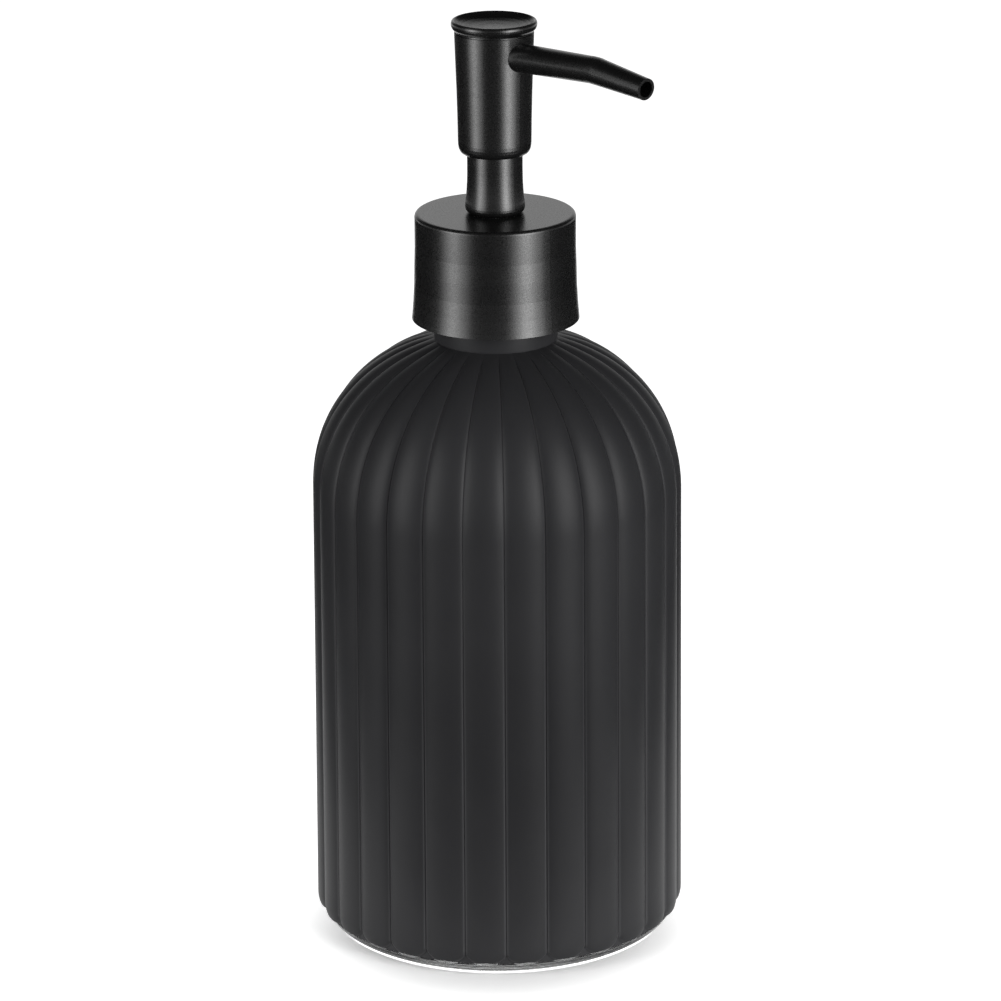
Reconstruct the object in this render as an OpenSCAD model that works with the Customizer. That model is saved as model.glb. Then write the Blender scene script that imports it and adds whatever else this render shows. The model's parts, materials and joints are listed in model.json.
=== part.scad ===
// Soap pump dispenser: a ribbed glass bottle closed by a screw collar that carries a push-down pump.
// Millimetres, +Z up, origin at the centre of the face the bottle stands on, spout towards +X.

/* [Bottle] */
// Radius over the rib crests near the foot
body_r = 38.4; // [34:0.1:44]
// Radius over the rib crests where the shoulder starts
shoulder_r = 37.9; // [34:0.1:44]
// Radius of the face the bottle stands on
foot_r = 34.6; // [30:0.1:38]
// Height where the shoulder starts to curve in
shoulder_z = 92.9; // [70:0.1:120]
// Height of the shoulder curve
dome_h = 33.74; // [20:0.01:45]
// Reach of the shoulder curve towards the axis
dome_w = 36.8; // [25:0.1:37]
// Roundness of the shoulder: 2 is an ellipse
dome_power = 2.13; // [1.8:0.01:3]
// Number of upright ribs
ribs = 28; // [12:1:40]
// Depth of the grooves between the ribs
groove_depth = 0.9; // [0.3:0.05:2]
// Turn of the first groove from the spout's side
groove_turn = -0.95; // [-7:0.05:7]
// Height of the plain foot band below the ribs
foot_band = 2.5; // [1:0.1:6]
// Thickness of the glass floor
floor_t = 6.5; // [3:0.5:12]
// Thickness of the glass wall behind the grooves
wall_t = 3.2; // [2:0.1:5]

/* [Neck] */
// Radius of the plain ring at the foot of the neck
neck_ring_r = 12.6; // [12.5:0.1:13.6]
// Height of the top of that ring
neck_ring_z = 129.3; // [120:0.1:140]
// Radius of the neck under its thread
neck_r = 12.5; // [10:0.05:16]
// Radius of the neck's bore
neck_bore_r = 10.6; // [9:0.1:13]
// Height of the bottle's rim
rim_z = 144; // [135:0.5:150]
// Rise of the thread in one turn
thread_pitch = 4.233; // [3:0.001:6]
// Height of the thread ridge
thread_h = 1.1; // [0.6:0.05:1.5]

/* [Collar] */
// Radius of the collar's lower edge
collar_r = 17; // [15:0.05:20]
// Radius of the collar near its top
collar_top_r = 16.3; // [14:0.05:20]
// Height of the collar's lower edge
collar_z = 129.5; // [125:0.1:135]
// Height of the collar's top face
collar_top = 151.4; // [150:0.1:153]
// Thickness of the collar's metal
collar_t = 0.7; // [0.4:0.05:1.5]

/* [Sleeve] */
// Radius of the fixed sleeve
sleeve_r = 5.6; // [4.5:0.05:7]
// Radius of the sleeve's flared foot
sleeve_foot_r = 6.05; // [5.7:0.05:6.1]
// Height of the sleeve's top edge
sleeve_top = 166.5; // [160:0.5:168]

/* [Head] */
// Height of the head's lower edge at rest
head_z = 163.8; // [158:0.1:170]
// Height of the top of the head's tube
head_top = 188.4; // [180:0.1:195]
// Radius of the head just above its lower edge
head_r = 7.4; // [6.8:0.05:9]
// Radius of the head under its cap
head_top_r = 8; // [7:0.05:10]
// Radius of the cap's rim
cap_r = 8.65; // [8:0.05:11]
// Height of the cap's rim
cap_z = 190.9; // [189:0.1:196]
// Travel of the head when it is pressed
stroke = 10.5; // [6:0.5:10.5]

/* [Spout] */
// Height of the spout's centre line where it leaves the head
spout_z = 184.35; // [180:0.05:188]
// Rise of the spout's first part above level
spout_rise = 3.4; // [-10:0.1:10]
// Fall of the spout's tip part below level
spout_fall = 5.0; // [0:0.1:40]
// Distance from the pump's axis to the bend
spout_bend_x = 29.4; // [15:0.1:40]
// Length of the part beyond the bend
spout_tip_l = 14.64; // [6:0.01:25]
// Outside radius at the head
spout_r0 = 2.89; // [2.2:0.01:4]
// Outside radius at the bend
spout_r1 = 2.7; // [2:0.01:4]
// Outside radius at the tip
spout_r2 = 2.19; // [1.8:0.01:4]
// Radius of the spout's bore
spout_bore_r = 1.6; // [1:0.05:2]

/* [Pump] */
// Radius of the pump cylinder's bore
pump_bore_r = 6.3; // [5:0.05:7]
// Outside radius of the pump cylinder
pump_r = 7.5; // [6:0.05:9]
// Outside radius of the hollow stem
stem_r = 3; // [2.5:0.05:4]
// Radius of the stem's bore
stem_bore_r = 2.05; // [1.5:0.05:2.5]
// Height of the piston's underside at rest
piston_z = 129; // [120:0.5:132]
// Height of the piston
piston_h = 9; // [6:0.5:10]
// Height of the insert that the spring stands on
seat_z = 97; // [92:0.5:105]
// Outside radius of the dip tube
dip_r = 3; // [2:0.1:4]
// Bore radius of the dip tube
dip_bore_r = 2.2; // [1.5:0.1:3]
// Height of the dip tube's lower end above the table
dip_z = 9; // [8:0.5:30]

/* [Spring and valves] */
// Radius of the spring's centre line
spring_r = 5; // [4:0.05:5.6]
// Radius of the spring's wire
wire_r = 0.45; // [0.3:0.05:0.7]
// Number of turns in the spring
spring_turns = 9; // [6:1:12]
// Radius of the inlet ball
inlet_ball_r = 2.4; // [2:0.05:2.6]
// Radius of the outlet ball
outlet_ball_r = 1.75; // [1.3:0.05:1.9]

/* [Hidden] */
$fn = 96;

// running clearance on a radius, and clearance between faces that only meet
run_gap = 0.05;
face_gap = 0.05;

glass_colour = [0.2, 0.2, 0.22];
metal_colour = [0.25, 0.25, 0.27];
plastic_colour = [0.85, 0.85, 0.86];
clear_colour = [0.8, 0.85, 0.85];
steel_colour = [0.7, 0.72, 0.75];
seal_colour = [0.6, 0.7, 0.75];

// ---- the bottle's ribbed skin ----
pitch_angle = 360 / ribs;
// places across one rib, from one groove to the next, in parts of a rib
rib_steps = [-0.5, -0.39, -0.21, 0, 0.21, 0.39];
rib_points = len(rib_steps) * ribs;
// a rib is part of an ellipse, cut off where it meets its neighbours
rib_cut = 0.9;
rib_low = sqrt(1 - rib_cut);
rib_end_z = 5.9;
rib_end_h = rib_end_z - foot_band;
foot_side_r = 36.85;

function rib_height(u) = (sqrt(1 - rib_cut * 4 * u * u) - rib_low) / (1 - rib_low);
function rib_end_height(u, z) =
    (sqrt(max(0, 1 - rib_cut * 4 * u * u - pow((rib_end_z - z) / rib_end_h, 2))) - rib_low) / (1 - rib_low);
function crest_r(z) = body_r + (shoulder_r - body_r) * z / shoulder_z;
function skin_point(r, z, i, u) =
    let (a = groove_turn + pitch_angle * (i + u + 0.5))
    [r * cos(a), r * sin(a), z];
function skin_ring_plain(r, z) = [
    for (i = [0:ribs - 1])
        for (u = rib_steps)
            skin_point(r, z, i, u)
];
function skin_ring_end(z) = [
    for (i = [0:ribs - 1])
        for (u = rib_steps)
            skin_point(max(foot_side_r, crest_r(z) - groove_depth * (1 - rib_end_height(u, z))), z, i, u)
];
function skin_ring_side(z) = [
    for (i = [0:ribs - 1])
        for (u = rib_steps)
            skin_point(crest_r(z) - groove_depth * (1 - rib_height(u)), z, i, u)
];
// the shoulder's curve, its outward direction, and the groove depth along it
function dome_r(t) = shoulder_r - dome_w + dome_w * pow(cos(t), 2 / dome_power);
function dome_z(t) = shoulder_z + dome_h * pow(sin(t), 2 / dome_power);
function dome_slope(t) = atan2(dome_r(t - 0.2) - dome_r(t + 0.2), dome_z(t + 0.2) - dome_z(t - 0.2));
function dome_groove(t) = groove_depth * (0.25 + 0.75 * dome_r(t) / shoulder_r);
function skin_ring_dome(t) = [
    for (i = [0:ribs - 1])
        for (u = rib_steps)
            let (d = dome_groove(t) * (1 - rib_height(u)))
            let (s = dome_slope(t))
            skin_point(dome_r(t) - d * cos(s), dome_z(t) - d * sin(s), i, u)
];
end_heights = [2.8, 3.3, 4, 4.9, rib_end_z];
dome_steps = [8, 18, 28, 38, 48, 57, 65.5, 73.6];
dome_last = dome_steps[len(dome_steps) - 1];

function flatten(lists) = [for (one = lists) for (p = one) p];
skin_rings = concat(
    [skin_ring_plain(foot_side_r, 2)],
    [skin_ring_plain(foot_side_r, foot_band)],
    [for (z = end_heights) skin_ring_end(z)],
    [skin_ring_side(shoulder_z)],
    [for (t = dome_steps) skin_ring_dome(t)]
);
skin_count = len(skin_rings);
skin_top_z = dome_z(dome_last);
skin_points = concat(flatten(skin_rings), [[0, 0, 2], [0, 0, skin_top_z]]);

module ribbed_skin() {
    n = rib_points;
    sides = [
        for (k = [0:skin_count - 2])
            for (j = [0:n - 1])
                let (a = k * n + j)
                let (b = k * n + (j + 1) % n)
                each [[a, a + n, b + n], [a, b + n, b]]
    ];
    bottom = [for (j = [0:n - 1]) [skin_count * n, j, (j + 1) % n]];
    last = (skin_count - 1) * n;
    top = [for (j = [0:n - 1]) [skin_count * n + 1, last + (j + 1) % n, last + j]];
    polyhedron(points = skin_points, faces = concat(sides, bottom, top));
}

// ---- a thread ridge, wound on a cylinder ----
// the ridge has a wide root and a narrow crest, and runs out flat at both ends
thread_root_w = 2.1;
thread_crest_w = 0.9;
thread_steps = 30;

module thread_ridge(root_r, crest_radius, z0, turns) {
    count = round(turns * thread_steps);
    rings = [
        for (k = [0:count])
            let (a = 360 * k / thread_steps)
            let (z = z0 + thread_pitch * k / thread_steps)
            let (fade = min(1, 0.15 + 6 * min(k, count - k) / count))
            let (c = root_r + (crest_radius - root_r) * fade)
            [
                [root_r * cos(a), root_r * sin(a), z - thread_root_w / 2],
                [c * cos(a), c * sin(a), z - thread_crest_w / 2],
                [c * cos(a), c * sin(a), z + thread_crest_w / 2],
                [root_r * cos(a), root_r * sin(a), z + thread_root_w / 2]
            ]
    ];
    outward = crest_radius > root_r;
    sides = [
        for (k = [0:count - 1])
            for (j = [0:3])
                let (a = 4 * k + j)
                let (b = 4 * k + (j + 1) % 4)
                each (outward ? [[a, b + 4, a + 4], [a, b, b + 4]] : [[a, a + 4, b + 4], [a, b + 4, b]])
    ];
    e = 4 * count;
    ends = outward
        ? [[0, 2, 1], [0, 3, 2], [e, e + 1, e + 2], [e, e + 2, e + 3]]
        : [[0, 1, 2], [0, 2, 3], [e, e + 2, e + 1], [e, e + 3, e + 2]];
    polyhedron(points = flatten(rings), faces = concat(sides, ends));
}
neck_thread_z = 134.4;
closure_thread_z = neck_thread_z - thread_pitch / 2;

// ---- pieces ----
inner_r = shoulder_r - groove_depth - wall_t;
inner_dome_w = inner_r - 1.2;
inner_dome_h = dome_h - 2.4;
function inner_dome_r(t) = inner_r - inner_dome_w + inner_dome_w * pow(cos(t), 2 / dome_power);
function inner_dome_z(t) = shoulder_z - 1 + inner_dome_h * pow(sin(t), 2 / dome_power);
inner_corner = 6;

module bottle_inside() {
    rotate_extrude()
        polygon(concat(
            [[0, floor_t]],
            [for (a = [-90:15:0]) [inner_r - inner_corner + inner_corner * cos(a),
                floor_t + inner_corner + inner_corner * sin(a)]],
            [for (t = [0:6:72]) [inner_dome_r(t), inner_dome_z(t)]],
            [[neck_bore_r, inner_dome_z(72) + 1.2], [neck_bore_r, rim_z + 1], [0, rim_z + 1]]
        ));
}

module bottle() {
    color(glass_colour)
    difference() {
        union() {
            ribbed_skin();
            rotate_extrude()
                polygon([[0, 0], [foot_r - 0.6, 0], [foot_r, 0.12], [foot_r + 0.6, 0.4], [foot_r + 1.3, 0.9],
                    [foot_r + 1.8, 1.5], [foot_side_r - 0.05, 2.1], [foot_side_r - 0.3, 2.4], [0, 2.4]]);
            rotate_extrude()
                polygon([[0, 121], [neck_ring_r, 121], [neck_ring_r, neck_ring_z - 0.5], [neck_r, neck_ring_z],
                    [neck_r, rim_z - 0.6], [neck_r - 0.6, rim_z], [0, rim_z]]);
            thread_ridge(neck_r - 0.3, neck_r + thread_h, neck_thread_z, 1.5);
        }
        bottle_inside();
    }
}

closure_bore_r = neck_r + thread_h + 0.4;
closure_z = 130.3;
gasket_t = 1.5;
flange_t = 1.3;
flange_z = rim_z + gasket_t;
closure_under = flange_z + flange_t + face_gap;
closure_top = closure_under + 2.05;
shell_under = collar_top - collar_t;
closure_r = 15;
closure_hole_r = 8.5;
closure_ribs = 24;

module closure() {
    color(plastic_colour)
    union() {
        difference() {
            union() {
                translate([0, 0, closure_z])
                    cylinder(r = closure_r, h = closure_top - closure_z);
                translate([0, 0, closure_top - 0.5])
                    cylinder(r = closure_r - 0.6, h = shell_under - closure_top + 0.5);
                for (i = [0:closure_ribs - 1])
                    rotate([0, 0, 360 * i / closure_ribs])
                        translate([closure_r - 0.5, -0.4, closure_z + 2])
                            cube([1.07, 0.8, closure_top - closure_z - 2]);
            }
            translate([0, 0, closure_z - 1])
                cylinder(r = closure_bore_r, h = closure_under - closure_z + 1);
            translate([0, 0, closure_under - 1])
                cylinder(r = closure_hole_r, h = 10);
            translate([0, 0, closure_top])
                cylinder(r = closure_r - 2, h = 10);
        }
        thread_ridge(closure_bore_r + 0.3, neck_r + 0.25, closure_thread_z, 1.25);
    }
}

module collar_shell() {
    outer = [[collar_r, collar_z], [collar_r - 0.1, collar_z + 1], [collar_r - 0.3, collar_z + 3.5],
        [collar_r - 0.5, collar_z + 7], [collar_top_r + 0.12, collar_z + 11], [collar_top_r, collar_z + 15],
        [collar_top_r, collar_top - 0.75], [collar_top_r - 0.06, collar_top - 0.46],
        [collar_top_r - 0.22, collar_top - 0.22], [collar_top_r - 0.46, collar_top - 0.06],
        [collar_top_r - 0.75, collar_top]];
    hole_r = housing_neck_r + 0.1;
    inner = [[hole_r, collar_top], [hole_r, shell_under], [collar_top_r - collar_t, shell_under],
        [collar_top_r - collar_t, collar_z + 15], [collar_top_r + 0.12 - collar_t, collar_z + 11],
        [collar_r - 0.5 - collar_t, collar_z + 7], [collar_r - 0.3 - collar_t, collar_z + 3.5],
        [collar_r - 0.1 - collar_t, collar_z + 1], [collar_r - collar_t, collar_z]];
    color(metal_colour)
    rotate_extrude()
        polygon(concat(outer, inner));
}

module neck_gasket() {
    color(seal_colour)
    difference() {
        translate([0, 0, rim_z])
            cylinder(r = 13.1, h = gasket_t);
        translate([0, 0, rim_z - 1])
            cylinder(r = pump_r, h = gasket_t + 2);
    }
}

housing_neck_r = 5;
retainer_z = piston_z + piston_h + 1.55;
retainer_flange_z = flange_z + flange_t;
stem_run_r = stem_r + run_gap;

module housing_retainer() {
    color(plastic_colour)
    difference() {
        union() {
            translate([0, 0, retainer_z])
                cylinder(r = pump_bore_r, h = retainer_flange_z - retainer_z + 0.5);
            translate([0, 0, retainer_flange_z])
                cylinder(r = 8.3, h = 1.4);
            translate([0, 0, retainer_flange_z + 1])
                cylinder(r = housing_neck_r, h = sleeve_top - 0.8 - retainer_flange_z - 1);
        }
        translate([0, 0, retainer_z - 1])
            cylinder(r = stem_run_r, h = sleeve_top - retainer_z + 2);
    }
}

module sleeve() {
    foot_z = collar_top + face_gap;
    color(metal_colour)
    rotate_extrude()
        polygon([[housing_neck_r, foot_z],
            [sleeve_foot_r - 0.75, foot_z], [sleeve_foot_r - 0.4, foot_z + 0.3],
            [sleeve_foot_r - 0.12, foot_z + 0.7], [sleeve_foot_r, foot_z + 1.15], [sleeve_foot_r, foot_z + 1.6],
            [sleeve_r + 0.4, foot_z + 2.2], [sleeve_r + 0.3, foot_z + 2.9], [sleeve_r + 0.21, foot_z + 3.8],
            [sleeve_r + 0.12, foot_z + 5], [sleeve_r + 0.04, foot_z + 6.6], [sleeve_r, foot_z + 8.5],
            [sleeve_r, sleeve_top - 0.3], [sleeve_r - 0.3, sleeve_top],
            [stem_r + 0.5, sleeve_top], [stem_r + 0.5, sleeve_top - 0.8], [housing_neck_r, sleeve_top - 0.8]]);
}

inlet_seat_r = 1.5;
inlet_pocket_r = 2.75;
inlet_seat_z = seat_z - 4.8;
tail_z = 78;
tail_top = 90;

module pump_housing() {
    color(plastic_colour)
    difference() {
        rotate_extrude()
            polygon([[dip_r, tail_z], [dip_r + 1.2, tail_z], [dip_r + 1.2, tail_top - 1], [pump_r, seat_z - 3],
                [pump_r, flange_z], [13, flange_z], [13, flange_z + flange_t], [pump_bore_r, flange_z + flange_t],
                [pump_bore_r, seat_z], [inlet_pocket_r, seat_z], [inlet_pocket_r, inlet_seat_z + 1.4],
                [inlet_seat_r, inlet_seat_z], [inlet_seat_r, tail_top], [dip_r, tail_top]]);
        translate([0, 0, 142])
            rotate([0, 90, 0])
                cylinder(r = 0.5, h = 20);
    }
}

cage_top = seat_z + 3;

module spring_seat() {
    color(plastic_colour)
    difference() {
        union() {
            translate([0, 0, seat_z])
                cylinder(r = pump_bore_r, h = 1.2);
            translate([0, 0, seat_z])
                cylinder(r = 3.9, h = 3);
        }
        translate([0, 0, seat_z - 1])
            cylinder(r = inlet_pocket_r, h = 2.9);
        translate([0, 0, seat_z - 1])
            cylinder(r = 1.2, h = 6);
        for (a = [0, 120, 240])
            rotate([0, 0, a])
                translate([1.9, -0.6, seat_z + 1.4])
                    cube([3, 1.2, 3]);
    }
}

// half angle of the valve seats, and the height of a ball that rests in one
inlet_angle = atan2(inlet_pocket_r - inlet_seat_r, 1.4);
function resting_z(ball_r, seat_r, z, angle) =
    z + (ball_r * cos(angle) - seat_r) / tan(angle) + ball_r * sin(angle) + 0.01;
inlet_ball_z = resting_z(inlet_ball_r, inlet_seat_r, inlet_seat_z, inlet_angle);

module inlet_ball() {
    color(steel_colour)
    translate([0, 0, inlet_ball_z])
        sphere(r = inlet_ball_r);
}

module dip_tube() {
    color(clear_colour)
    difference() {
        translate([0, 0, dip_z])
            cylinder(r = dip_r, h = tail_top - dip_z);
        translate([0, 0, dip_z - 1])
            cylinder(r = dip_bore_r, h = tail_top - dip_z + 2);
        translate([0, 0, dip_z])
            rotate([0, 25, 0])
                translate([-10, -10, -10])
                    cube([20, 20, 10]);
    }
}

spring_low = seat_z + 1.2 + wire_r + 0.02;
spring_high = piston_z - wire_r - 0.02;
spring_steps = 18;
wire_sides = 6;

// the end turns lie close, and the rest share the height evenly
function spring_height(k, count) =
    let (t = k / spring_steps)
    let (close = 2 * wire_r + 0.1)
    let (mid = (spring_high - spring_low - 2 * close) / (spring_turns - 2))
    t < 1 ? spring_low + close * t
        : t > spring_turns - 1 ? spring_high - close * (spring_turns - t)
        : spring_low + close + mid * (t - 1);

module return_spring() {
    count = spring_turns * spring_steps;
    rings = [
        for (k = [0:count])
            let (a = 360 * k / spring_steps)
            let (z = spring_height(k, count))
            [
                for (j = [0:wire_sides - 1])
                    let (b = 360 * j / wire_sides)
                    let (r = spring_r + wire_r * cos(b))
                    [r * cos(a), r * sin(a), z + wire_r * sin(b)]
            ]
    ];
    n = wire_sides;
    sides = [
        for (k = [0:count - 1])
            for (j = [0:n - 1])
                let (a = k * n + j)
                let (b = k * n + (j + 1) % n)
                each [[a, b, b + n], [a, b + n, a + n]]
    ];
    e = count * n;
    first_end = [for (j = [1:n - 2]) [0, j + 1, j]];
    last_end = [for (j = [1:n - 2]) [e, e + j, e + j + 1]];
    color(steel_colour)
    polyhedron(points = flatten(rings), faces = concat(sides, first_end, last_end));
}

piston_top = piston_z + piston_h;
lip_r = pump_bore_r - run_gap;

module piston() {
    color(seal_colour)
    rotate_extrude()
        polygon([[stem_run_r, piston_z], [lip_r - 0.5, piston_z], [lip_r, piston_z + 0.5], [lip_r, piston_z + 1.3],
            [lip_r - 0.8, piston_z + 2.3], [lip_r - 0.8, piston_top - 2.3], [lip_r, piston_top - 1.3],
            [lip_r, piston_top - 0.3], [lip_r - 0.6, piston_top - 0.3], [lip_r - 1.2, piston_top - 1.6],
            [4.4, piston_top - 1.6], [4.4, piston_top], [stem_run_r, piston_top]]);
}

stem_top = 182.2;
stem_low = piston_z - face_gap;
seat_plug_top = stem_low + 3;

module stem() {
    color(plastic_colour)
    rotate_extrude()
        polygon([[stem_bore_r, stem_low], [stem_r, stem_low], [stem_r, piston_top + face_gap],
            [4.2, piston_top + face_gap], [4.2, piston_top + 1.1], [3.6, piston_top + 1.5],
            [stem_r, piston_top + 1.5], [stem_r, stem_top], [1.5, stem_top], [1.5, seat_plug_top + 3.5],
            [stem_bore_r, seat_plug_top + 2.9]]);
}

outlet_seat_r = 1.15;
outlet_seat_h = 0.75;
outlet_angle = atan2(stem_bore_r - 0.15 - outlet_seat_r, outlet_seat_h);
outlet_ball_z = resting_z(outlet_ball_r, outlet_seat_r, seat_plug_top - outlet_seat_h, outlet_angle);

module stem_seat() {
    color(plastic_colour)
    rotate_extrude()
        polygon([[outlet_seat_r, stem_low - 1.6], [3.4, stem_low - 1.6], [3.9, stem_low - 1.1],
            [3.9, stem_low], [stem_bore_r, stem_low], [stem_bore_r, seat_plug_top],
            [stem_bore_r - 0.15, seat_plug_top], [outlet_seat_r, seat_plug_top - outlet_seat_h]]);
}

module outlet_ball() {
    color(steel_colour)
    translate([0, 0, outlet_ball_z])
        sphere(r = outlet_ball_r);
}

// ---- the head ----
core_r = 6.95;
// the head's mouth passes over the sleeve's flared foot
mouth_r = 6.2;
core_z = sleeve_top + stroke + 0.3;
core_top = head_top - 0.4;
// the cap's peg, pressed into the core
peg_r = 2.5;
peg_z = head_top - 2;
spout_axis_x = 6;

// places what is drawn along +Z onto the spout's first part, starting at distance s from the reference point
module along_first(s) {
    translate([spout_axis_x, 0, spout_z])
        rotate([0, 90 - spout_rise, 0])
            translate([0, 0, s])
                children();
}

module head_core() {
    color(plastic_colour)
    difference() {
        translate([0, 0, core_z])
            cylinder(r = core_r, h = core_top - core_z);
        translate([0, 0, core_z - 1])
            cylinder(r = stem_r, h = stem_top - core_z + 1);
        translate([0, 0, stem_top - 1])
            cylinder(r = spout_bore_r, h = 3.2);
        along_first(-6.2)
            cylinder(r = spout_bore_r, h = 10);
        along_first(-2.6)
            cylinder(r = spout_r0, h = 10);
        translate([0, 0, peg_z])
            cylinder(r = peg_r, h = 5);
    }
}

module head_shell() {
    color(metal_colour)
    difference() {
        rotate_extrude()
            polygon([[mouth_r, head_z], [mouth_r + 0.25, head_z], [mouth_r + 0.6, head_z + 0.22],
                [mouth_r + 0.87, head_z + 0.6], [head_r - 0.14, head_z + 1.1], [head_r - 0.04, head_z + 1.7],
                [head_r, head_z + 2.4], [head_r + 0.07, head_z + 7.2], [head_r + 0.2, head_z + 12.7],
                [head_r + 0.4, head_z + 18.5], [head_top_r, head_top], [core_r, head_top], [core_r, core_z],
                [6.5, core_z], [6.5, head_z + 2.2], [mouth_r, head_z + 1.6]]);
        along_first(-1)
            cylinder(r = spout_r0 + 0.02, h = 10);
    }
}

module head_cap() {
    color(metal_colour)
    rotate_extrude()
        polygon([[0, peg_z], [peg_r, peg_z], [peg_r, core_top], [core_r, core_top], [core_r, head_top],
            [head_top_r - 0.35, head_top], [head_top_r - 0.35, head_top + 0.3], [head_top_r - 0.05, head_top + 0.35],
            [cap_r - 0.5, head_top + 0.65], [cap_r - 0.22, head_top + 0.95], [cap_r - 0.05, cap_z - 1.1],
            [cap_r, cap_z - 0.75], [cap_r - 0.06, cap_z - 0.38], [cap_r - 0.2, cap_z - 0.12],
            [cap_r - 0.42, cap_z], [cap_r - 0.66, cap_z - 0.1], [cap_r - 0.95, cap_z - 0.4],
            [cap_r - 1.4, cap_z - 0.75], [cap_r - 2.1, cap_z - 1.05], [cap_r - 3.2, cap_z - 1.3],
            [cap_r - 5, cap_z - 1.45], [0, cap_z - 1.5]]);
}

bend_angle = spout_rise + spout_fall;
bend_r = 14;
// the straight parts stop short of the corner by this much, and the bend joins them
bend_cut = bend_r * tan(bend_angle / 2);
first_l = (spout_bend_x - spout_axis_x) / cos(spout_rise) - bend_cut;
second_l = spout_tip_l - bend_cut;
root_l = 4;

// the curved part, as a turned circle that laps over the straight parts
bend_lap = 0.4;

module bend_part(r) {
    along_first(first_l)
        mirror([1, 0, 0])
            translate([-bend_r, 0, 0])
                rotate([90, 0, 0])
                    rotate([0, 0, -bend_lap])
                        rotate_extrude(angle = bend_angle + 2 * bend_lap)
                            translate([bend_r, 0])
                                circle(r = r + 0.015);
}

// places what is drawn along +Z onto the part beyond the bend
module along_second() {
    along_first(first_l)
        mirror([1, 0, 0])
            translate([-bend_r, 0, 0])
                rotate([0, -bend_angle, 0])
                    translate([bend_r, 0, 0])
                        children();
}

module spout_outside() {
    along_first(-2.6)
        cylinder(r = spout_r0, h = 2.6 + root_l);
    along_first(root_l)
        cylinder(r1 = spout_r0, r2 = spout_r1, h = first_l - root_l);
    bend_part(spout_r1);
    along_second()
        cylinder(r1 = spout_r1, r2 = spout_r2, h = second_l);
}

module spout_inside() {
    along_first(-4)
        cylinder(r = spout_bore_r, h = first_l + 4);
    bend_part(spout_bore_r);
    along_second()
        cylinder(r = spout_bore_r, h = second_l + 1);
}

module spout() {
    color(metal_colour)
    difference() {
        spout_outside();
        spout_inside();
    }
}

bottle();
collar_shell();
closure();
neck_gasket();
sleeve();
housing_retainer();
pump_housing();
spring_seat();
inlet_ball();
dip_tube();
return_spring();
piston();
stem();
stem_seat();
outlet_ball();
head_core();
head_shell();
head_cap();
spout();
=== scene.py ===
import json
import math

import bmesh
import bpy
from mathutils import Matrix, Vector


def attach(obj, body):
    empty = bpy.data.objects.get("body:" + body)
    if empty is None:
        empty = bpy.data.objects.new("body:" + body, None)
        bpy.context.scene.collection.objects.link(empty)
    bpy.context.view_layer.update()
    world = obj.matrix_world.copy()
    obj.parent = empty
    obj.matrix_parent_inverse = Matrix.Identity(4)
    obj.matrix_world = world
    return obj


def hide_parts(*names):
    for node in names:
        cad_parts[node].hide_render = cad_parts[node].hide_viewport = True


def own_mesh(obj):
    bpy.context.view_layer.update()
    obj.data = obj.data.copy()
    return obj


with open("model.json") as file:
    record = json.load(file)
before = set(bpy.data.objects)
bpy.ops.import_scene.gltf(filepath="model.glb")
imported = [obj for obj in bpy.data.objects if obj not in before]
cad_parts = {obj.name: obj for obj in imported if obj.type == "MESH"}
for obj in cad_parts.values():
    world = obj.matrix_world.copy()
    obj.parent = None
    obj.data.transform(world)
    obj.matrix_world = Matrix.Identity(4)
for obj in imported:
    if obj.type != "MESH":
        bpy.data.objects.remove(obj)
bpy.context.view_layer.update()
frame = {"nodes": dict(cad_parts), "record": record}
MM = 0.001

# ---------------------------------------------------------------- camera
# the camera looks from the spout's side at a point about half way up, just beside the pump's axis
CAM_TURN = 48.3
CAM_RISE = 18.47
CAM_DISTANCE = 1.0
CAM_TARGET_Z = 0.0901
CAM_SIDE = 0.00074
CAM_ROLL = 0.33
CAM_LENS = 175.1

turn, rise = math.radians(CAM_TURN), math.radians(CAM_RISE)
back = Vector((math.sin(turn) * math.cos(rise), -math.cos(turn) * math.cos(rise), math.sin(rise)))
right = Vector((math.cos(turn), math.sin(turn), 0.0))
up = back.cross(right)
roll = math.radians(CAM_ROLL)
front = Vector((math.sin(turn), -math.cos(turn), 0.0))
cam_x = right * math.cos(roll) - up * math.sin(roll)
cam_y = right * math.sin(roll) + up * math.cos(roll)
cam_data = bpy.data.cameras.new("camera")
cam_data.sensor_width = 36.0
cam_data.lens = CAM_LENS
cam_data.clip_start = 0.01
cam_data.clip_end = 50.0
camera = bpy.data.objects.new("camera", cam_data)
place = Matrix((cam_x, cam_y, back)).transposed().to_4x4()
place.translation = Vector((0, 0, CAM_TARGET_Z)) + back * CAM_DISTANCE + right * CAM_SIDE
camera.matrix_world = place
bpy.context.scene.collection.objects.link(camera)
bpy.context.scene.camera = camera


# ---------------------------------------------------------------- materials
def new_material(name):
    m = bpy.data.materials.new(name)
    m.use_nodes = True
    nt = m.node_tree
    return m, nt, nt.nodes["Principled BSDF"], nt.nodes.new("ShaderNodeTexCoord")


def noise(nt, coord, scale, detail=3.0, rough=0.5):
    n = nt.nodes.new("ShaderNodeTexNoise")
    n.inputs["Scale"].default_value = scale
    n.inputs["Detail"].default_value = detail
    n.inputs["Roughness"].default_value = rough
    nt.links.new(coord.outputs["Object"], n.inputs["Vector"])
    return n


def spread(nt, source, low, high):
    r = nt.nodes.new("ShaderNodeMapRange")
    r.inputs["From Min"].default_value = 0.3
    r.inputs["From Max"].default_value = 0.7
    r.inputs["To Min"].default_value = low
    r.inputs["To Max"].default_value = high
    nt.links.new(source.outputs["Fac"], r.inputs["Value"])
    return r


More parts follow.
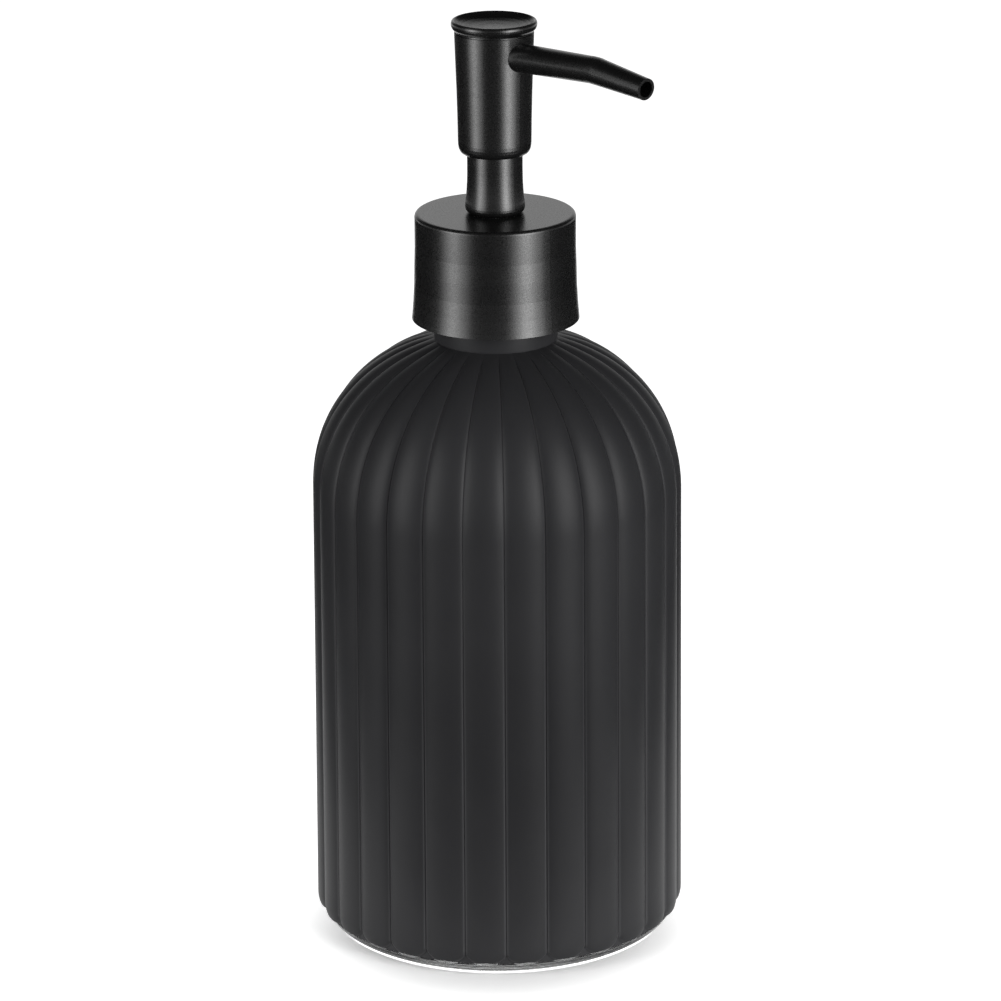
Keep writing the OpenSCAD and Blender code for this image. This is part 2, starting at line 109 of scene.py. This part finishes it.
def two_tones(nt, source, dark, light):
    r = nt.nodes.new("ShaderNodeValToRGB")
    r.color_ramp.elements[0].position = 0.35
    r.color_ramp.elements[1].position = 0.65
    r.color_ramp.elements[0].color = (*dark, 1)
    r.color_ramp.elements[1].color = (*light, 1)
    nt.links.new(source.outputs["Fac"], r.inputs["Fac"])
    return r


def bump(nt, bsdf, source, strength, distance):
    b = nt.nodes.new("ShaderNodeBump")
    b.inputs["Strength"].default_value = strength
    b.inputs["Distance"].default_value = distance
    nt.links.new(source.outputs["Fac"], b.inputs["Height"])
    nt.links.new(b.outputs["Normal"], bsdf.inputs["Normal"])


def surface(name, dark, light, rough, grain, grain_depth, metallic=0.0, specular=0.5, cloud=40.0,
            strength=0.5):
    """A plain finish: two close tones in soft clouds, a varying roughness and a fine grain."""
    m, nt, bsdf, coord = new_material(name)
    clouds = noise(nt, coord, cloud)
    fine = noise(nt, coord, grain, 2.0)
    nt.links.new(two_tones(nt, clouds, dark, light).outputs["Color"], bsdf.inputs["Base Color"])
    nt.links.new(spread(nt, fine, *rough).outputs["Result"], bsdf.inputs["Roughness"])
    bump(nt, bsdf, fine, strength, grain_depth)
    bsdf.inputs["Metallic"].default_value = metallic
    bsdf.inputs["Specular IOR Level"].default_value = specular
    return m


coating = surface("matte_coating", (0.0148, 0.0148, 0.0159), (0.0178, 0.0178, 0.019), (0.42, 0.5),
                  4200.0, 0.000006, specular=0.12, cloud=30.0, strength=0.3)
# painted highlight: the coating is painted lighter where the mesh's stored value is high, in thin highlight
# lines along the grooves and its lower edge
HIGHLIGHT_PAINT_COLOUR = (0.05, 0.05, 0.052, 1)
highlight_paint_nt = coating.node_tree
highlight_paint_bsdf = highlight_paint_nt.nodes["Principled BSDF"]
highlight_paint_value = highlight_paint_nt.nodes.new("ShaderNodeAttribute")
highlight_paint_value.attribute_name = "painted_highlight"
highlight_paint_mix = highlight_paint_nt.nodes.new("ShaderNodeMix")
highlight_paint_mix.data_type = "RGBA"
highlight_paint_mix.inputs[7].default_value = HIGHLIGHT_PAINT_COLOUR
highlight_paint_nt.links.new(highlight_paint_value.outputs["Fac"], highlight_paint_mix.inputs[0])
highlight_paint_nt.links.new(highlight_paint_bsdf.inputs["Base Color"].links[0].from_socket, highlight_paint_mix.inputs[6])
highlight_paint_nt.links.new(highlight_paint_mix.outputs[2], highlight_paint_bsdf.inputs["Base Color"])
pump_black = surface("satin_black", (0.0028, 0.0028, 0.0029), (0.0045, 0.0045, 0.0046), (0.25, 0.33),
                     2800.0, 0.000012, cloud=60.0, strength=0.35)
white_plastic = surface("white_plastic", (0.72, 0.72, 0.7), (0.76, 0.76, 0.74), (0.35, 0.42), 900.0, 0.00001)
soft_plastic = surface("soft_seal", (0.55, 0.62, 0.66), (0.6, 0.67, 0.7), (0.4, 0.5), 900.0, 0.00001)
foam = surface("foam_liner", (0.62, 0.62, 0.6), (0.7, 0.7, 0.68), (0.75, 0.85), 1600.0, 0.00006, cloud=300.0)
wire = surface("spring_wire", (0.5, 0.5, 0.52), (0.56, 0.56, 0.58), (0.22, 0.3),
               1500.0, 0.000004, metallic=1.0)
ball_steel = surface("ball_steel", (0.6, 0.6, 0.62), (0.64, 0.64, 0.66), (0.08, 0.12),
                     800.0, 0.000001, metallic=1.0)


def clear_material(name, colour, rough, grain, depth):
    """A see-through finish with a varying roughness and a faint waviness."""
    m, nt, bsdf, coord = new_material(name)
    fine = noise(nt, coord, grain)
    bsdf.inputs["Base Color"].default_value = (*colour, 1)
    bsdf.inputs["Transmission Weight"].default_value = 1.0
    bsdf.inputs["IOR"].default_value = 1.5
    nt.links.new(spread(nt, fine, *rough).outputs["Result"], bsdf.inputs["Roughness"])
    bump(nt, bsdf, fine, 0.2, depth)
    return m


clear_glass = clear_material("clear_glass", (0.97, 0.985, 0.98), (0.0, 0.02), 120.0, 0.00003)
clear_tube = clear_material("clear_tube", (0.9, 0.93, 0.93), (0.1, 0.16), 200.0, 0.00001)

# ---------------------------------------------------------------- the bottle's shape, in millimetres
BODY_R, SHOULDER_R, SHOULDER_Z = 38.4, 37.9, 92.9
DOME_H, DOME_W, DOME_POWER = 33.74, 36.8, 2.13
DOME_LAST = math.radians(73.3)
RIBS, GROOVE, GROOVE_TURN = 28, 0.9, -0.95
RIB_CUT = 0.9
RIB_LOW = math.sqrt(1 - RIB_CUT)
FOOT_BAND, RIB_END_Z, FOOT_SIDE_R = 2.5, 5.9, 36.85
COAT_LOW_Z = 2.7
# the coating's lower edge rises in a shallow arch under each rib: height, half width and how far up it acts
SCALLOP_H, SCALLOP_HALF_W, SCALLOP_REACH = 0.55, 0.3, 1.4
NECK_RING_R, NECK_RING_Z = 12.6, 129.3
NECK_R, NECK_BORE_R, RIM_Z, FLOOR_T = 12.5, 10.6, 144.0, 6.5
WALL_T, FLOOR_ROUND_R = 3.2, 6.0
# steps of the skin: over the ribs' ends, up the side and over the dome
END_STEPS, SIDE_STEPS, DOME_STEPS = 26, 12, 48
# the groove's bottom is rounded over this part of a rib
GROOVE_ROUND = 0.006
# how softly the ribs' ends run out into the foot band
FOOT_BLEND = 0.12

# places across one rib, close together near the groove
HALF_RIB = [0.0, 0.07, 0.14, 0.21, 0.27, 0.33, 0.38, 0.42, 0.45, 0.472, 0.488, 0.5]
ACROSS = sorted({-u for u in HALF_RIB} | set(HALF_RIB))[:-1]


def rib_height(u, end=0.0):
    """1 on the crest, 0 in the groove, and less below the rib's rounded end."""
    v = abs(u)
    if v > 0.5 - 2 * GROOVE_ROUND:
        v = min(v, 0.5 - GROOVE_ROUND * (0.5 - v) / (2 * GROOVE_ROUND))
    return (math.sqrt(max(0.0, 1 - RIB_CUT * 4 * v * v - end * end)) - RIB_LOW) / (1 - RIB_LOW)


def crest_r(z):
    """The radius over the ribs' crests, up to the shoulder."""
    return BODY_R + (SHOULDER_R - BODY_R) * z / SHOULDER_Z


def dome(t):
    """The radius and height on the shoulder's crest line, from t = 0 at its foot."""
    c, s = max(0.0, math.cos(t)), math.sin(t)
    return (SHOULDER_R - DOME_W + DOME_W * c ** (2 / DOME_POWER), SHOULDER_Z + DOME_H * s ** (2 / DOME_POWER))


def dome_slope(t):
    """How far the shoulder's outward direction points up, as an angle."""
    (r0, z0), (r1, z1) = dome(t - 0.004), dome(t + 0.004)
    return math.atan2(r0 - r1, z1 - z0)


def angle(i, u):
    """The direction of a place across rib number i; u runs from -0.5 to 0.5."""
    return math.radians(GROOVE_TURN + 360 / RIBS * (i + u + 0.5))


def ring(point):
    """One ring of points; point(u) gives a radius and a height."""
    out = []
    for i in range(RIBS):
        for u in ACROSS:
            r, z = point(u)
            a = angle(i, u)
            out.append((r * math.cos(a) * MM, r * math.sin(a) * MM, z * MM))
    return out


def plain_ring(r, z):
    return ring(lambda u: (r, z))


def coat_edge(u):
    """How far the coating's lower edge rises under the middle of a rib."""
    return SCALLOP_H * max(0.0, 1 - (u / SCALLOP_HALF_W) ** 2)


def outer_rings(out, z_from, edge=False):
    """The ribbed skin from the foot to the neck ring, moved outwards by out."""
    rings = []
    end_h = RIB_END_Z - FOOT_BAND
    zs = [FOOT_BAND + end_h * (k / END_STEPS) ** 1.15 for k in range(END_STEPS + 1)]
    for z in zs:
        if z < z_from:
            continue

        def at(u, z=z):
            if edge:
                z += coat_edge(u) * max(0.0, 1 - (z - z_from) / SCALLOP_REACH)
            d = crest_r(z) - GROOVE * (1 - rib_height(u, (RIB_END_Z - z) / end_h)) - FOOT_SIDE_R
            return FOOT_SIDE_R + (d + math.hypot(d, FOOT_BLEND)) / 2 + out, z
        rings.append(ring(at))
    for k in range(1, SIDE_STEPS + 1):
        z = RIB_END_Z + (SHOULDER_Z - RIB_END_Z) * k / SIDE_STEPS
        rings.append(ring(lambda u, z=z: (crest_r(z) - GROOVE * (1 - rib_height(u)) + out, z)))
    for k in range(1, DOME_STEPS + 1):
        t = DOME_LAST * k / DOME_STEPS
        r, z = dome(t)
        slope = dome_slope(t)
        fade = min(1.0, max(0.0, (r - NECK_RING_R) / 5.0)) ** 0.7
        depth = GROOVE * (0.25 + 0.75 * r / SHOULDER_R) * fade

        def over(u, r=r, z=z, slope=slope, depth=depth):
            move = out - depth * (1 - rib_height(u))
            return r + math.cos(slope) * move, z + math.sin(slope) * move
        rings.append(ring(over))
    return rings


def mesh_object(name, rings, loop=False):
    """Joins rings of points into one smooth mesh; its ends are joined in a loop or closed with fans."""
    n = len(rings[0])
    verts = [p for r in rings for p in r]
    faces = []
    for k in range(len(rings) - 1):
        for j in range(n):
            a, b = k * n + j, k * n + (j + 1) % n
            faces.append((a, b, b + n, a + n))
    if loop:
        k = (len(rings) - 1) * n
        for j in range(n):
            faces.append((k + j, k + (j + 1) % n, (j + 1) % n, j))
    else:
        base = (len(rings) - 1) * n
        first, last = len(verts), len(verts) + 1
        verts += [(0, 0, rings[0][0][2]), (0, 0, rings[-1][0][2])]
        faces += [(first, (j + 1) % n, j) for j in range(n)]
        faces += [(last, base + j, base + (j + 1) % n) for j in range(n)]
    me = bpy.data.meshes.new(name)
    me.from_pydata(verts, [], faces)
    bm = bmesh.new()
    bm.from_mesh(me)
    bmesh.ops.recalc_face_normals(bm, faces=bm.faces)
    bm.to_mesh(me)
    bm.free()
    me.shade_smooth()
    ob = bpy.data.objects.new(name, me)
    bpy.context.scene.collection.objects.link(ob)
    return ob


def crease(ob, degrees):
    """Edges sharper than this stay sharp."""
    me = ob.data
    bm = bmesh.new()
    bm.from_mesh(me)
    limit = math.radians(degrees)
    for e in bm.edges:
        if len(e.link_faces) == 2:
            e.smooth = e.calc_face_angle(0.0) < limit
    bm.to_mesh(me)
    bm.free()


def inner_profile():
    """The inside of the bottle, from the rim down to the floor's centre."""
    inner_r = SHOULDER_R - GROOVE - WALL_T
    w, h, zs = inner_r - 1.2, DOME_H - 2.4, SHOULDER_Z - 1

    def inner_dome(t):
        return inner_r - w + w * math.cos(t) ** (2 / DOME_POWER), zs + h * math.sin(t) ** (2 / DOME_POWER)
    pts = [(NECK_BORE_R + 0.5, RIM_Z), (NECK_BORE_R, RIM_Z - 0.5), (NECK_BORE_R, RIM_Z - 10)]
    pts += [(NECK_BORE_R, inner_dome(math.radians(72))[1] + 1.2)]
    pts += [inner_dome(math.radians(72 - 3 * k)) for k in range(25)]
    pts += [(inner_r, 70.0), (inner_r, 40.0)]
    for a in range(0, -91, -10):
        c, s = math.cos(math.radians(a)), math.sin(math.radians(a))
        pts.append((inner_r - FLOOR_ROUND_R * (1 - c), FLOOR_T + FLOOR_ROUND_R * (1 + s)))
    return pts + [(20.0, FLOOR_T), (8.0, FLOOR_T)]


# how far each layer is from the design's outline: inside it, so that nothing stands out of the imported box
GLASS_OUT, COAT_INNER, COAT_OUTER = -0.1, -0.088, -0.036

# the glass body, whose neck has no thread here, and over it the coating, from a little above the foot
# to the neck ring
foot_profile = [(8.0, 0.0), (20.0, 0.0), (33.0, 0.0), (34.0, 0.02), (34.6, 0.13), (35.2, 0.42), (35.75, 0.8),
                (36.2, 1.25), (36.5, 1.7), (36.72, 2.1), (36.82, 2.4)]
neck_ring_profile = [(NECK_RING_R, 125.85), (NECK_RING_R, NECK_RING_Z - 0.7),
                     (NECK_RING_R - 0.04, NECK_RING_Z - 0.3)]
neck_profile = [(NECK_R, NECK_RING_Z), (NECK_R, 137.0), (NECK_R, RIM_Z - 0.8),
                (NECK_R - 0.2, RIM_Z - 0.2), (NECK_R - 0.7, RIM_Z)]
glass = mesh_object(
    "bottle_glass",
    [plain_ring(r, z) for r, z in foot_profile] + outer_rings(GLASS_OUT, 0.0)
    + [plain_ring(r + GLASS_OUT, z) for r, z in neck_ring_profile]
    + [plain_ring(r, z) for r, z in neck_profile + inner_profile()])
crease(glass, 50)
glass.data.materials.append(clear_glass)
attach(glass, "bottle_body")
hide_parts("bottle")

coat_rings = outer_rings(COAT_OUTER, COAT_LOW_Z, True)
coat_rings += [plain_ring(r + COAT_OUTER, z) for r, z in neck_ring_profile]
back_rings = [plain_ring(r + COAT_INNER, z) for r, z in reversed(neck_ring_profile)]
back_rings += reversed(outer_rings(COAT_INNER, COAT_LOW_Z, True))
coat = mesh_object("bottle_coating", coat_rings + back_rings, loop=True)
crease(coat, 60)

# the painted highlight lines: beside each groove, in parts of a rib, and along the lower edge, in millimetres
HIGHLIGHT_PLACE, HIGHLIGHT_WIDTH, HIGHLIGHT_STRENGTH = 0.468, 0.014, 0.8
HIGHLIGHT_FADE_LOW_Z, HIGHLIGHT_FADE_H, HIGHLIGHT_LEAST = 45, 80, 0.25
HIGHLIGHT_START_Z, HIGHLIGHT_START_H = 3.2, 2
EDGE_HIGHLIGHT_PLACE, EDGE_HIGHLIGHT_WIDTH, EDGE_HIGHLIGHT_STRENGTH = 0.45, 0.2, 0.55


def painted_highlight_at(x, y, z):
    """How strongly the coating is painted with highlight: a line beside each groove, weaker higher up, and
    one along the lower edge.
    """
    place_in_rib = ((math.degrees(math.atan2(y, x)) - GROOVE_TURN) / (360 / RIBS)) % 1.0 - 0.5
    side = math.exp(-((abs(place_in_rib) - HIGHLIGHT_PLACE) / HIGHLIGHT_WIDTH) ** 2)
    height = min(1.0, max(HIGHLIGHT_LEAST, 1.0 - (z - HIGHLIGHT_FADE_LOW_Z) / HIGHLIGHT_FADE_H))
    if z >= NECK_RING_Z - 6:
        height = 0.0
    value = HIGHLIGHT_STRENGTH * side * height
    if z < RIB_END_Z:
        above = math.hypot(x, y) - FOOT_SIDE_R - COAT_OUTER
        edge = EDGE_HIGHLIGHT_STRENGTH * math.exp(-((above - EDGE_HIGHLIGHT_PLACE) / EDGE_HIGHLIGHT_WIDTH) ** 2)
        value = max(value * min(1.0, max(0.0, (z - HIGHLIGHT_START_Z) / HIGHLIGHT_START_H)), edge)
    return value


# each point of the coating stores how strongly it is painted with highlight
painted_highlight = coat.data.attributes.new("painted_highlight", "FLOAT", "POINT")
for k, v in enumerate(coat.data.vertices):
    painted_highlight.data[k].value = painted_highlight_at(*(c / MM for c in v.co))
coat.data.materials.append(coating)
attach(coat, "bottle_body")
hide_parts("bottle")

# ---------------------------------------------------------------- return spring
# a carried-over piece keeps its length, so a copy of the spring stands for it
# both in metres, as in the record
cad_spring = frame["nodes"]["return_spring"]
spring = bpy.data.objects.new("spring_coil", cad_spring.data.copy())
bpy.context.scene.collection.objects.link(spring)
spring.matrix_world = cad_spring.matrix_world.copy()
spring.data.materials.clear()
spring.data.materials.append(wire)
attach(spring, "pump_body")
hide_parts("return_spring")
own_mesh(spring)

# ---------------------------------------------------------------- finishes of the carried-over pieces
finishes = {
    "satin_black": pump_black,
    "white_plastic": white_plastic,
    "soft_seal": soft_plastic,
    "gasket": foam,
    "clear_tube": clear_tube,
    "spring_steel": wire,
    "ball_steel": ball_steel,
    "coated_glass": coating,
}
for part in frame["record"]["subparts"]:
    ob = frame["nodes"].get(part["node"])
    if ob is None:
        continue
    for s in ob.material_slots:
        s.material = finishes[part["material_slot"]]


# ---------------------------------------------------------------- floor and light
def plane(name, size, z, material):
    me = bpy.data.meshes.new(name)
    h = size / 2
    me.from_pydata([(-h, -h, z), (h, -h, z), (h, h, z), (-h, h, z)], [], [(0, 1, 2, 3)])
    ob = bpy.data.objects.new(name, me)
    bpy.context.scene.collection.objects.link(ob)
    me.materials.append(material)


floor_mat, floor_nt, floor_bsdf, floor_coord = new_material("floor")
floor_bsdf.inputs["Base Color"].default_value = (0.92, 0.92, 0.92, 1)
floor_bsdf.inputs["Roughness"].default_value = 0.6
floor_bsdf.inputs["Specular IOR Level"].default_value = 0.2


def glow(centre, r0, r1, a, b):
    """Light from the floor that goes from a to b between two distances from a point on it."""
    shifted = floor_nt.nodes.new("ShaderNodeVectorMath")
    shifted.operation = "SUBTRACT"
    shifted.inputs[1].default_value = centre
    floor_nt.links.new(floor_coord.outputs["Object"], shifted.inputs[0])
    away = floor_nt.nodes.new("ShaderNodeVectorMath")
    away.operation = "LENGTH"
    floor_nt.links.new(shifted.outputs["Vector"], away.inputs[0])
    g = floor_nt.nodes.new("ShaderNodeMapRange")
    g.interpolation_type = "SMOOTHSTEP"
    for name, value in zip(("From Min", "From Max", "To Min", "To Max"), (r0, r1, a, b)):
        g.inputs[name].default_value = value
    floor_nt.links.new(away.outputs["Value"], g.inputs["Value"])
    return g


# the floor is painted with light: it glows brightly under the clear foot, a painted glow that shows through
# the glass as the foot's bright line, and glows away from the bottle; near the bottle the glow fades, a
# painted soft shadow left in front of it
both = floor_nt.nodes.new("ShaderNodeMath")
both.operation = "ADD"
painted_shadow_centre = front * 0.012
floor_nt.links.new(glow((0, 0, 0), 0.0345, 0.0352, 1.6, 0.0).outputs["Result"], both.inputs[0])
floor_nt.links.new(glow(painted_shadow_centre, 0.022, 0.052, 0.0, 1.0).outputs["Result"], both.inputs[1])
floor_bsdf.inputs["Emission Color"].default_value = (1, 1, 1, 1)
floor_nt.links.new(both.outputs["Value"], floor_bsdf.inputs["Emission Strength"])
plane("floor", 12.0, -0.0001, floor_mat)

# dark cards lie on the table in front of the bottle and at its sides, out of the picture
card_mat, card_nt, card_bsdf, card_coord = new_material("dark_card")
card_bsdf.inputs["Roughness"].default_value = 0.8
card_bsdf.inputs["Specular IOR Level"].default_value = 0.1
card_tones = two_tones(card_nt, noise(card_nt, card_coord, 20.0), (0.012,) * 3, (0.016,) * 3)
card_nt.links.new(card_tones.outputs["Color"], card_bsdf.inputs["Base Color"])


def card(name, corners):
    """A flat card; x runs to the right of the picture and y towards the camera, in metres from the axis."""
    pts = [right * x + front * y + Vector((0, 0, 0.0002)) for x, y in corners]
    me = bpy.data.meshes.new(name)
    me.from_pydata([tuple(q) for q in pts], [], [tuple(range(len(pts)))])
    ob = bpy.data.objects.new(name, me)
    bpy.context.scene.collection.objects.link(ob)
    me.materials.append(card_mat)


card("front_card", [(-1.4, 0.062), (-1.4, 1.4), (1.4, 1.4), (1.4, 0.062)])
side_corners = [(0.112, 0.06), (0.14, -0.25), (0.2, -0.8), (1.4, -0.8), (1.4, 0.06)]
for side, name in ((-1, "left_card"), (1, "right_card")):
    card(name, [(side * x, y) for x, y in side_corners])

# the room is bright behind the bottle and dark elsewhere
world = bpy.data.worlds.new("world")
bpy.context.scene.world = world
world.use_nodes = True
wt = world.node_tree
wc = wt.nodes.new("ShaderNodeTexCoord")
dot = wt.nodes.new("ShaderNodeVectorMath")
dot.operation = "DOT_PRODUCT"
dot.inputs[1].default_value = front
wt.links.new(wc.outputs["Generated"], dot.inputs[0])
ramp = wt.nodes.new("ShaderNodeMapRange")
ramp.inputs["From Min"].default_value = -0.96
ramp.inputs["From Max"].default_value = -0.8
ramp.inputs["To Min"].default_value = 1.0
ramp.inputs["To Max"].default_value = 0.02
wt.links.new(dot.outputs["Value"], ramp.inputs["Value"])
wt.nodes["Background"].inputs["Color"].default_value = (1, 1, 1, 1)
wt.links.new(ramp.outputs["Result"], wt.nodes["Background"].inputs["Strength"])
# the light panels stand on the floor and reach this height
PANEL_TOP_Z = 0.42


def panel(name, turn_deg, distance, width, power):
    """A soft upright light; its turn is counted from the camera's side, positive to the right."""
    a = math.radians(CAM_TURN + turn_deg)
    out = Vector((math.sin(a), -math.cos(a), 0.0))
    data = bpy.data.lights.new(name, "AREA")
    data.shape = "RECTANGLE"
    data.size = width
    data.size_y = PANEL_TOP_Z
    data.energy = power
    ob = bpy.data.objects.new(name, data)
    ob.location = out * distance + Vector((0, 0, PANEL_TOP_Z / 2))
    ob.rotation_mode = "QUATERNION"
    ob.rotation_quaternion = (-out).to_track_quat("-Z", "Y")
    bpy.context.scene.collection.objects.link(ob)


panel("left_panel", -58, 0.46, 0.34, 1.45)
panel("left_core", -60, 0.45, 0.13, 0.75)
panel("right_panel", 46, 0.46, 0.37, 2.1)
panel("right_core", 44, 0.45, 0.14, 1.3)

bpy.context.scene.view_settings.view_transform = "Standard"
